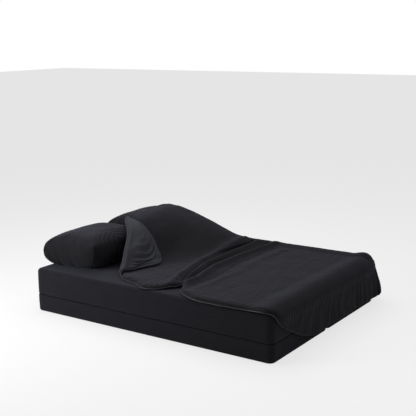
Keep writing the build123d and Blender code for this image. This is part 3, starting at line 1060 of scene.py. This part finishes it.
def spaced(stops):
    """Places from stop to stop, each stretch at its own step."""
    places = [stops[0][0]]
    for (start, step), (end, _) in zip(stops, stops[1:]):
        count = max(1, round((end - start) / step))
        places += list(np.linspace(start, end, count + 1)[1:])
    return np.array(places)


def rounded_cut(distance, radius):
    """How far a rounded corner draws an edge in, at a distance from the other edge."""
    near = np.clip(radius - distance, 0, radius)
    return radius - np.sqrt(radius**2 - near**2)


def unit(vectors):
    return vectors / np.linalg.norm(vectors, axis=-1, keepdims=True)


def read_grid(table, rows, columns):
    """Reads a grid of values at places between its rows and columns."""
    row = np.clip(rows.astype(int), 0, table.shape[0] - 2)
    column = np.clip(columns.astype(int), 0, table.shape[1] - 2)
    ahead = (rows - row).reshape(rows.shape + (1,) * (table.ndim - 2))
    over = (columns - column).reshape(rows.shape + (1,) * (table.ndim - 2))
    first = table[row, column] * (1 - over) + table[row, column + 1] * over
    second = table[row + 1, column] * (1 - over) + table[row + 1, column + 1] * over
    return first * (1 - ahead) + second * ahead


def edge_thickness(distance, edge_share=quilt_edge_share):
    """The thickness of the wadded quilt at a distance from its bound edge."""
    share = np.clip(distance / quilt_edge_reach, 0, 1)
    return quilt_thickness * (edge_share + (1 - edge_share) * np.sqrt(share * (2 - share)))


# The grid's rows, closer together at the pleats and round the foot bend.
fold_end = row_knots[fold_end_row]
foot_turn = row_knots[foot_turn_row]
pleat_start = row_knots[fold_end_row + 1]
pleat_stretch = 0.40
pleat_end = pleat_start + pleat_stretch
rim_rows_end = 0.022
before_fold_end = 0.06
after_fold_end = 0.03
round_foot_turn = 0.03
row_stops = (
    (0.0, rim_row_step),
    (rim_rows_end, flap_row_step),
    (fold_end - before_fold_end, turn_row_step),
    (fold_end + after_fold_end, row_step),
    (pleat_start, pleat_row_step),
    (pleat_end, row_step),
    (foot_turn - round_foot_turn, turn_row_step),
    (foot_turn + round_foot_turn, row_step),
    (quilt_length, row_step),
)
row_places = spaced(row_stops)
row_count = len(row_places)
near_margin = 0.06
ribs_past_edge = 3
column_places = np.arange(-ribs_past_edge * rib_pitch, quilt_width + column_step / 2, column_step)
column_places = column_places[column_places > -near_margin]
_, net_across = net_at(row_places)
foot_distance = quilt_length - row_places
near_edge = net_across[:, 0] + rounded_cut(foot_distance, corner_round)
far_edge = net_across[:, -1] - rounded_cut(foot_distance, foot_corner_round)
far_edge -= rounded_cut(row_places, corner_round)
across = np.clip(column_places[None, :], near_edge[:, None], far_edge[:, None])
along = row_places[:, None] + 0 * across
nudge = 0.002
upward_smoothing = 3
base = underside(row_places, across)
ahead = underside(row_places + nudge, across) - base
right = underside(row_places, across + nudge) - base
upward = unit(np.cross(ahead, right))
for _ in range(upward_smoothing):
    padded = np.pad(upward, ((1, 1), (1, 1), (0, 0)), mode="edge")
    upward = unit(padded[:-2, 1:-1] + padded[2:, 1:-1] + padded[1:-1, :-2] + padded[1:-1, 2:] + 2 * upward)

# How far each place is from a bound edge. The fold isn't one, but both its ends are.
flap_reach = 0.530
flap_edge = 0.415
edge_slope = np.gradient(near_edge, row_places)
from_near = (across - near_edge[:, None]) / np.sqrt(1 + edge_slope[:, None] ** 2)
from_fold_end = np.clip(fold_end - along, 0, None)
flap_height = flap_reach / np.hypot(flap_reach, flap_edge)
from_near = np.hypot(from_near, flap_height * from_fold_end)
from_sides = np.minimum(from_near, far_edge[:, None] - across)
from_edge = np.minimum(from_sides, np.minimum(along, foot_distance[:, None]))

# The folds: pleats, soft waves, the puckers along the bound edge, and the flutes of the
# parts that hang.
drift_size = 0.22
drift_seed = 12.3
top_fade = 0.05
# The soft waves all over: their height, size, seed and stretch.
soft_waves = (
    (0.0022, 0.16, 3.1, (1, 1, 1)),
    (0.0016, 0.07, 8.4, (1.6, 0.5, 1)),
)
# The small creases that run out from the notch where the turned corner ends.
notch_place = (1.25, 0.12)
notch_reach = 0.30
notch_crease = 0.0040
notch_crease_size = 0.042
notch_crease_seed = 14.9
notch_crease_stretch = (0.22, 1, 1)
pucker_height = 0.0021
pucker_reach = 0.028
pucker_pitch = 0.037
pucker_drift = 2.5
pucker_drift_size = 0.09
pucker_seed = 5.7
# The flutes of the foot side: their share, pitch, drift, even share, patch size and seed.
foot_flutes = (
    (1.0, 0.118, 5, 0.6, 0.30, 6.2),
    (0.5, 0.061, 7, 0.4, 0.20, 9.7),
)
foot_flute_height = 0.0050
foot_flute_growth = 1.2
foot_flute_lift = 1.5
foot_sweep = 0.30
foot_sweep_reach = 0.45
side_flute_height = 0.0060
side_flute_pitch = 0.16
side_flute_drift = 2.2
deepest_groove = 0.9
corner_rise_press = 0.75
corner_thick_press = 0.45

hang = np.clip((along - foot_turn) / (quilt_length - foot_turn), 0, 1)
side_hang = np.clip((across - far_bend) / side_drop, 0, 1)
drift = noise_field(base, drift_size, drift_seed)
on_top = soft_step(1 - (along - foot_turn + top_fade) / top_fade) * (1 - side_hang)
rise = on_top * along_routes(base[..., 0], base[..., 1], pleats)
for height, size, seed, stretch in soft_waves:
    rise += height * (1 + noise_field(base, size, seed, stretch))
from_notch = np.hypot(base[..., 0] - notch_place[0], base[..., 1] - notch_place[1])
notch_creases = 1 + noise_field(base, notch_crease_size, notch_crease_seed, notch_crease_stretch)
rise += notch_crease * on_top * notch_creases * np.exp(-from_notch / notch_reach)
edge_run = np.where(foot_distance[:, None] < from_near, across, along)
pucker_wander = pucker_drift * noise_field(base, pucker_drift_size, pucker_seed)
pucker = np.sin(2 * math.pi * edge_run / pucker_pitch + pucker_wander)
rise += pucker_height * (1 + pucker) * np.exp(-from_edge / pucker_reach)
sweep = across + foot_sweep * hang * np.exp(-np.clip(across, 0, None) / foot_sweep_reach)
flutes = foot_flute_lift + 0 * across
for share, pitch, wander, even, patch, seed in foot_flutes:
    flute = np.sin(2 * math.pi * sweep / pitch + wander * drift)
    flutes += share * flute * (even + noise_field(base, patch, seed))
rise += foot_flute_height * hang**foot_flute_growth * flutes * (1 - side_hang)
side_flute = 1 + np.sin(2 * math.pi * along / side_flute_pitch + side_flute_drift * drift)
rise += side_flute_height * soft_step(side_hang) * (1 - hang) * side_flute
pinch = np.clip(along_routes(base[..., 0], base[..., 1], grooves), 0, deepest_groove)
thick = edge_thickness(from_edge) * (1 - on_top * pinch)
from_corner = np.linalg.norm(base - (bed_length, bed_width, hem_top), axis=-1)
corner_press = np.exp(-((from_corner / corner_press_reach) ** 2))
rise *= 1 - corner_rise_press * corner_press
thick *= 1 - corner_thick_press * corner_press
top_surface = base + upward * (rise + thick)[..., None]

# The fold and the turned corner, as more columns before the first one over the bed. The
# turned corner lies on the quilt itself, lining up, and shrinks to nothing at the end
# of the fold.
fold_steps = 10
flap_steps = 76
flap_crowding = 1.5
fold_axis = quilt_thickness + fold_gap / 2
fold_turn = math.pi * (fold_axis - quilt_thickness / 2)
fold_top = np.array((0.356, 0.628))
flap_corner = np.array((0.795, 0.545))
flap_bulge = 0.022
flap_bulge_way = np.array((0.19, 0.98))
flap_puff = 0.003
flap_puff_size = 0.11
flap_puff_seed = 17.1
flap_puff_start = 0.03
flap_puff_grow = 0.12
flap_rim_share = 0.78
flap_rim_bulge = 0.012
flap_rim_reach = 0.010
flap_rim_start = 0.03
flap_rim_grow = 0.10
rim_columns = 4
least_rim_length = 0.002
# The seam that holds the lining just inside the edge: its depth, its place and its width.
edge_seam_depth = 0.005
edge_seam_inset = 0.012
edge_seam_width = 0.005
edge_seam_start = 0.02
# The creases of the turned satin: their height, pitch, drift, patch size, seed, stretch.
satin_creases = (
    (0.0036, 0.040, 3.5, 0.15, 21.7, (1, 1, 1)),
    (0.0014, 0.021, 5, 0.10, 2.9, (0.5, 0.5, 1)),
)
satin_crease_lift = 0.0050
satin_crease_lean = 0.08
satin_crease_start = 0.02
satin_crease_grow = 0.08
satin_crease_end = 0.10
satin_crease_fade = 0.24
satin_crease_even = 0.8
satin_crease_patches = 0.6
satin_patch_size = 0.13
satin_patch_seed = 5.1
satin_crease_most = 1.2
satin_crease_edge = 0.05

first_base = base[:, 0]
first_up = upward[:, 0]
fold_outward = unit(np.cross(unit(np.gradient(first_base, axis=0)), first_up))
walked = np.concatenate(([0], np.cumsum(np.linalg.norm(np.diff(first_base, axis=0), axis=1))))
fold_share = np.clip(walked / np.interp(fold_end, row_places, walked), 0, 1)
reach = (1 - fold_share) * (flap_reach + fold_turn)
reach -= rounded_cut(fold_share * flap_edge, flap_corner_round) * (fold_share < 0.5)
reach = np.clip(reach, 0, None)
fold_part = np.minimum(reach, fold_turn)[:, None]
flap_part = (reach - fold_part[:, 0])[:, None]
flap_run = flap_part * (1 - np.linspace(0, 1, flap_steps + 1)[None, :-1] ** flap_crowding)
on_flap = flap_run > least_length
fold_run = fold_part * np.linspace(1, 0, fold_steps + 1)[None, :-1]
flap_head = (fold_share * flap_edge)[:, None]

spots = first_base[:, None, :2] + (flap_corner - fold_top) * (flap_run / flap_reach)[..., None]
bulge = flap_bulge * np.sin(math.pi * np.clip(flap_run / flap_reach, 0, 1)) * (1 - fold_share[:, None])
spots += bulge[..., None] * flap_bulge_way
spot_columns = np.interp(spots[..., 1], column_places, np.arange(len(column_places)))
spot_rows = np.repeat(np.arange(row_count, dtype=float)[:, None], flap_steps, axis=1)
for i, j in np.argwhere(on_flap):
    column = int(spot_columns[i, j])
    over = spot_columns[i, j] - column
    line = base[:, column, 0] * (1 - over) + base[:, column + 1, 0] * over
    spot_rows[i, j] = np.interp(spots[i, j, 0], line, np.arange(row_count))
flap_rest = read_grid(top_surface, spot_rows, spot_columns)
flap_up = read_grid(upward, spot_rows, spot_columns)
from_side_edge = flap_part - flap_run
flap_from_edge = np.minimum(from_side_edge, flap_head)
crease_run = from_side_edge + satin_crease_lean * flap_head
creases = satin_crease_lift + 0 * crease_run
for height, pitch, wander, patch, seed, stretch in satin_creases:
    crease = np.sin(2 * math.pi * crease_run / pitch + wander * noise_field(flap_rest, patch, seed, stretch))
    creases += height * crease
crease_share = soft_step((flap_run - satin_crease_start) / satin_crease_grow)
crease_share *= 1 - soft_step((from_side_edge - satin_crease_end) / satin_crease_fade)
crease_patches = satin_crease_patches * noise_field(flap_rest, satin_patch_size, satin_patch_seed)
crease_share *= satin_crease_even + crease_patches
crease_share = np.clip(crease_share, 0, satin_crease_most) * soft_step(flap_from_edge / satin_crease_edge)
rim_growth = soft_step((flap_head - flap_rim_start) / flap_rim_grow)
flap_rim = quilt_edge_share + (flap_rim_share - quilt_edge_share) * rim_growth
flap_thick = edge_thickness(flap_from_edge, flap_rim)
edge_seam = np.exp(-(((flap_from_edge - edge_seam_inset) / edge_seam_width) ** 2))
flap_thick -= edge_seam_depth * edge_seam * soft_step(flap_run / edge_seam_start)
flap_thick += crease_share * creases
puff = 1 + noise_field(flap_rest, flap_puff_size, flap_puff_seed)
flap_thick += flap_puff * soft_step((flap_run - flap_puff_start) / flap_puff_grow) * puff
flap_thick = np.where(on_flap, flap_thick, thick[:, :1])
fold_done = fold_run / fold_turn
fold_from_edge = from_edge[:, :1] * (1 - fold_done) + np.minimum(flap_part, flap_head) * fold_done
fold_from_edge = np.minimum(fold_from_edge, reach[:, None] - fold_run)
fold_thick = edge_thickness(fold_from_edge, quilt_edge_share + (flap_rim - quilt_edge_share) * fold_done)

# The plush of the top cloth puffs out a little past the lining along the turned rim.
rim_side = flap_rest[:, :1] - flap_rest[:, rim_columns : rim_columns + 1]
rim_head = flap_rest[:1] - flap_rest[rim_columns : rim_columns + 1]
rim_out = np.zeros_like(flap_rest)
for rim_way, rim_distance in ((rim_side, from_side_edge), (rim_head, flap_head)):
    rim_length = np.maximum(np.linalg.norm(rim_way, axis=-1, keepdims=True), least_rim_length)
    rim_near = np.exp(-((rim_distance / flap_rim_reach) ** 2)) * soft_step(flap_run / flap_rim_start)
    rim_out += flap_rim_bulge * rim_near[..., None] * rim_way / rim_length


def quilt_surface(profile):
    """The quilt's points at the height that a profile says, from the lining (0) to the top (1)."""
    over_bed = base + upward * (rise + profile(from_edge) * thick)[..., None]
    centre = first_base + first_up * (rise[:, :1] + thick[:, :1] + fold_gap / 2)
    radius = fold_gap / 2 + (1 - profile(fold_from_edge)) * fold_thick
    angle = -math.pi / 2 + math.pi * fold_done
    out = (np.cos(angle) * radius)[..., None] * fold_outward[:, None]
    round_fold = centre[:, None] + out + (np.sin(angle) * radius)[..., None] * first_up[:, None]
    turned = flap_rest + flap_up * (fold_gap + (1 - profile(flap_from_edge)) * flap_thick)[..., None]
    turned += rim_out * profile(flap_from_edge)[..., None]
    turned = np.where(on_flap[..., None], turned, round_fold[:, :1])
    return np.concatenate((turned, round_fold, over_bed), axis=1)


flat_across = np.concatenate((-fold_part - flap_run, -fold_run, across - near_edge[:, None]), axis=1)
flat_across += near_edge[:, None]
column_count = flat_across.shape[1]
turned_columns = flap_steps + fold_steps
plain_rib_shade = 0.75
rib_edge = 0.02
merge_distance = 2e-5


def quilt_layer(name, low_profile, high_profile, high_stride, low_stride, ribbed=False):
    """One closed layer of the quilt between two profiles."""
    high = quilt_surface(high_profile)
    low = quilt_surface(low_profile)
    # Each point keeps its rib place from valley (0) to crest (1), which paints shade into the plush colour;
    # points off the ribs get an even share.
    rib_valley_shade = np.full((2, row_count, column_count), plain_rib_shade)
    if ribbed:
        rib = np.sqrt(np.abs(np.cos(math.pi * column_places / rib_pitch)))
        rib_valley_shade[0, :, -len(column_places) :] = rib
        rib = rib_depth * rib[None, :] * soft_step(from_edge / rib_edge)
        high[:, -len(column_places) :] += upward * rib[..., None]
    last = column_count - 1
    turned = set(range(turned_columns)) | {last}
    high_columns = sorted(turned | set(range(turned_columns, last, high_stride)))
    low_columns = sorted(turned | set(range(turned_columns, last, low_stride)))
    points = list(high.reshape(-1, 3) + origin) + list(low.reshape(-1, 3) + origin)
    flat = [(along_place, place) for along_place, row in zip(row_places, flat_across) for place in row] * 2
    below = row_count * column_count
    faces = []
    for row in range(row_count - 1):
        here = row * column_count
        there = here + column_count
        for a, b in zip(high_columns, high_columns[1:]):
            faces.append((here + a, there + a, there + b, here + b))
        for a, b in zip(low_columns, low_columns[1:]):
            faces.append((below + here + a, below + here + b, below + there + b, below + there + a))
        faces.append((here, below + here, below + there, there))
        faces.append((here + last, there + last, below + there + last, below + here + last))
    coarse = high_columns if high_stride > low_stride else low_columns
    for start in (0, (row_count - 1) * column_count):
        for a, b in zip(coarse, coarse[1:]):
            ring = [start + k for k in high_columns if a <= k <= b]
            ring += [below + start + k for k in reversed(low_columns) if a <= k <= b]
            faces.append(tuple(reversed(ring)) if start else tuple(ring))
    layer = make_piece(name, points, faces)
    layer.data.attributes.new("rib", "FLOAT", "POINT").data.foreach_set("value", rib_valley_shade.ravel())
    uv = layer.data.uv_layers.new(name="flat_place")
    places = np.array(flat)[[loop.vertex_index for loop in layer.data.loops]]
    uv.data.foreach_set("uv", places.ravel())
    work = bmesh.new()
    work.from_mesh(layer.data)
    bmesh.ops.remove_doubles(work, verts=work.verts, dist=merge_distance)
    bmesh.ops.delete(work, geom=[vertex for vertex in work.verts if not vertex.link_faces], context="VERTS")
    work.to_mesh(layer.data)
    work.free()
    return layer


satin, satin_shader = grained_material(
    "satin_lining",
    scale=14.0,
    dark=(0.0160, 0.0163, 0.0205),
    light=(0.0206, 0.0209, 0.0259),
    roughness=0.55,
    sheen=0.15,
    specular=0.14,
)
satin_grain = placed_noise(satin, scale=600.0, detail=2.0)
bump_from(satin, satin_shader, satin_grain.outputs["Fac"], strength=0.15, distance=0.0005)
# The binding's satin is painted lighter than the lining's, a painted highlight along the bound edge.
highlit_piping, _ = grained_material(
    "satin_binding_painted_highlight",
    scale=60.0,
    dark=(0.026, 0.026, 0.030),
    light=(0.036, 0.036, 0.041),
    strength=0.4,
    distance=0.002,
    roughness=0.42,
    sheen=0.1,
    specular=0.3,
)

cloth_share = quilt_cloth / quilt_thickness
edge_wrap = 0.006


def under_side(distance):
    return 0 * distance


def above_lining(distance):
    return cloth_share + 0 * distance


def below_top(distance):
    """Where the wadding meets the top cloth, which wraps down round the edge to the lining."""
    return cloth_share + (1 - 2 * cloth_share) * np.clip(distance / edge_wrap, 0, 1)


def top_side(distance):
    return 1 + 0 * distance


lining = quilt_layer("quilt_satin", under_side, above_lining, high_stride=4, low_stride=2)
finish_piece(lining, satin, "quilt", "lining_satin", "quilt_lining")
middle_layer = quilt_layer("quilt_fill", above_lining, below_top, high_stride=4, low_stride=4)
finish_piece(middle_layer, fibre, "quilt", "wadding", "quilt_wadding")
outer_cloth = quilt_layer("quilt_plush", below_top, top_side, high_stride=1, low_stride=4, ribbed=True)
finish_piece(outer_cloth, plush, "quilt", "quilt_fabric", "quilt_top_cloth")


binding_radius = 0.0034
binding_sides = 8
binding_share = 0.22
binding_step = 0.008


def cord_tree():
    """A tree that sweeps a round cord along a path: its radius and its cloth."""
    tree, given, result = start_tree("bound_edge", [("Cord radius", "Float"), ("Cloth", "Material")])
    ring = tree.nodes.new("GeometryNodeCurvePrimitiveCircle")
    ring.inputs["Resolution"].default_value = binding_sides
    sweep_cord = tree.nodes.new("GeometryNodeCurveToMesh")
    cloth = tree.nodes.new("GeometryNodeSetMaterial")
    links = tree.links
    links.new(given.outputs["Cord radius"], ring.inputs["Radius"])
    links.new(given.outputs["Geometry"], sweep_cord.inputs["Curve"])
    links.new(ring.outputs["Curve"], sweep_cord.inputs["Profile Curve"])
    links.new(sweep_cord.outputs["Mesh"], cloth.inputs["Geometry"])
    links.new(given.outputs["Cloth"], cloth.inputs["Material"])
    links.new(cloth.outputs["Geometry"], result.inputs["Geometry"])
    return tree


middle = quilt_surface(lambda distance: binding_share + 0 * distance)
loop = np.concatenate((middle[0, :-1], middle[:-1, -1], middle[-1, :0:-1], middle[:0:-1, 0])) + origin
kept = [loop[0]]
for place in loop[1:]:
    if np.linalg.norm(place - kept[-1]) > binding_step:
        kept.append(place)
if np.linalg.norm(kept[-1] - kept[0]) < binding_step / 2:
    kept.pop()
kept = np.array(kept)
kept = (np.roll(kept, 1, axis=0) + 2 * kept + np.roll(kept, -1, axis=0)) / 4
bound_edge = path_curve("quilt_bound_edge", [tuple(place) for place in kept], True)
bound_edge = run_tree(bound_edge, cord_tree(), {"Cord radius": binding_radius, "Cloth": highlit_piping})
for polygon in bound_edge.data.polygons:
    polygon.use_smooth = True
finish_piece(bound_edge, None, "quilt", "binding_satin", "quilt_binding")


# Room. A plain pale floor and soft light, most of it from above and from the head end,
# as in a studio. The camera looks down a little from beyond the near foot corner.
floor_reach = 30
floor_grey = (0.8, 0.8, 0.8, 1)
floor_whiteness = 0.72
room_white = (1, 1, 1, 1)
room_light = 0.27
bed_middle = origin + np.array((bed_length / 2, bed_width / 2, 0.0))
floor_corners = [(x * floor_reach, y * floor_reach, 0) for x, y in ((-1, -1), (1, -1), (1, 1), (-1, 1))]
floor = make_piece("floor", floor_corners, [(0, 1, 2, 3)], smooth=False)
paper = bpy.data.materials.new("pale_floor")
paper.use_nodes = True
paper_nodes = paper.node_tree
paper_shader = paper_nodes.nodes["Principled BSDF"]
paper_shader.inputs["Base Color"].default_value = floor_grey
paper_shader.inputs["Roughness"].default_value = 0.9
white = paper_nodes.nodes.new("ShaderNodeEmission")
white.inputs["Color"].default_value = room_white
ray = paper_nodes.nodes.new("ShaderNodeLightPath")
share = paper_nodes.nodes.new("ShaderNodeMath")
share.operation = "MULTIPLY"
share.inputs[1].default_value = floor_whiteness
blend = paper_nodes.nodes.new("ShaderNodeMixShader")
wire(paper, ray.outputs["Is Camera Ray"], share.inputs[0])
wire(paper, share.outputs[0], blend.inputs["Fac"])
wire(paper, paper_shader.outputs["BSDF"], blend.inputs[1])
wire(paper, white.outputs["Emission"], blend.inputs[2])
wire(paper, blend.outputs["Shader"], paper_nodes.nodes["Material Output"].inputs["Surface"])
floor.data.materials.append(paper)

world = bpy.data.worlds.new("pale_room")
bpy.context.scene.world = world
world.use_nodes = True
sky = world.node_tree
ambient = sky.nodes["Background"]
ambient.inputs["Color"].default_value = room_white
ambient.inputs["Strength"].default_value = room_light
backdrop = sky.nodes.new("ShaderNodeBackground")
backdrop.inputs["Color"].default_value = room_white
backdrop.inputs["Strength"].default_value = 1.0
room_ray = sky.nodes.new("ShaderNodeLightPath")
room_mix = sky.nodes.new("ShaderNodeMixShader")
sky.links.new(room_ray.outputs["Is Camera Ray"], room_mix.inputs["Fac"])
sky.links.new(ambient.outputs["Background"], room_mix.inputs[1])
sky.links.new(backdrop.outputs["Background"], room_mix.inputs[2])
sky.links.new(room_mix.outputs["Shader"], sky.nodes["World Output"].inputs["Surface"])


def soft_light(name, place, aim, size, power):
    lamp = bpy.data.lights.new(name, "AREA")
    lamp.shape = "RECTANGLE"
    lamp.size, lamp.size_y = size
    lamp.energy = power
    lamp_object = add_object(name, lamp)
    lamp_object.location = Vector(place)
    lamp_object.rotation_euler = (Vector(aim) - Vector(place)).to_track_quat("-Z", "Y").to_euler()


over_bed = bed_middle + np.array((-0.6, 0.2, 3.2))
soft_light("top_light", over_bed, bed_middle, size=(3.0, 3.0), power=63.0)
head_side = bed_middle + np.array((-1.95, -2.5, 1.3))
head_aim = bed_middle + np.array((-0.6, 0, 0.2))
soft_light("head_light", head_side, head_aim, size=(1.6, 1.6), power=58.0)
foot_side = bed_middle + np.array((3.2, -0.4, 1.9))
foot_aim = bed_middle + np.array((-0.4, 0, 0.4))
soft_light("fill_light", foot_side, foot_aim, size=(2.0, 2.0), power=12.0)

camera = add_object("camera", bpy.data.cameras.new("camera"))
camera.data.lens = 74.56
camera.data.sensor_width = 36.0
camera_place = (4.493, -4.325, 2.030)
camera_turn = (78.22, 0.68, 34.2)
camera.location = Vector(origin) + Vector(camera_place)
camera.rotation_euler = [math.radians(angle) for angle in camera_turn]
bpy.context.scene.camera = camera
bpy.context.scene.view_settings.view_transform = "Standard"
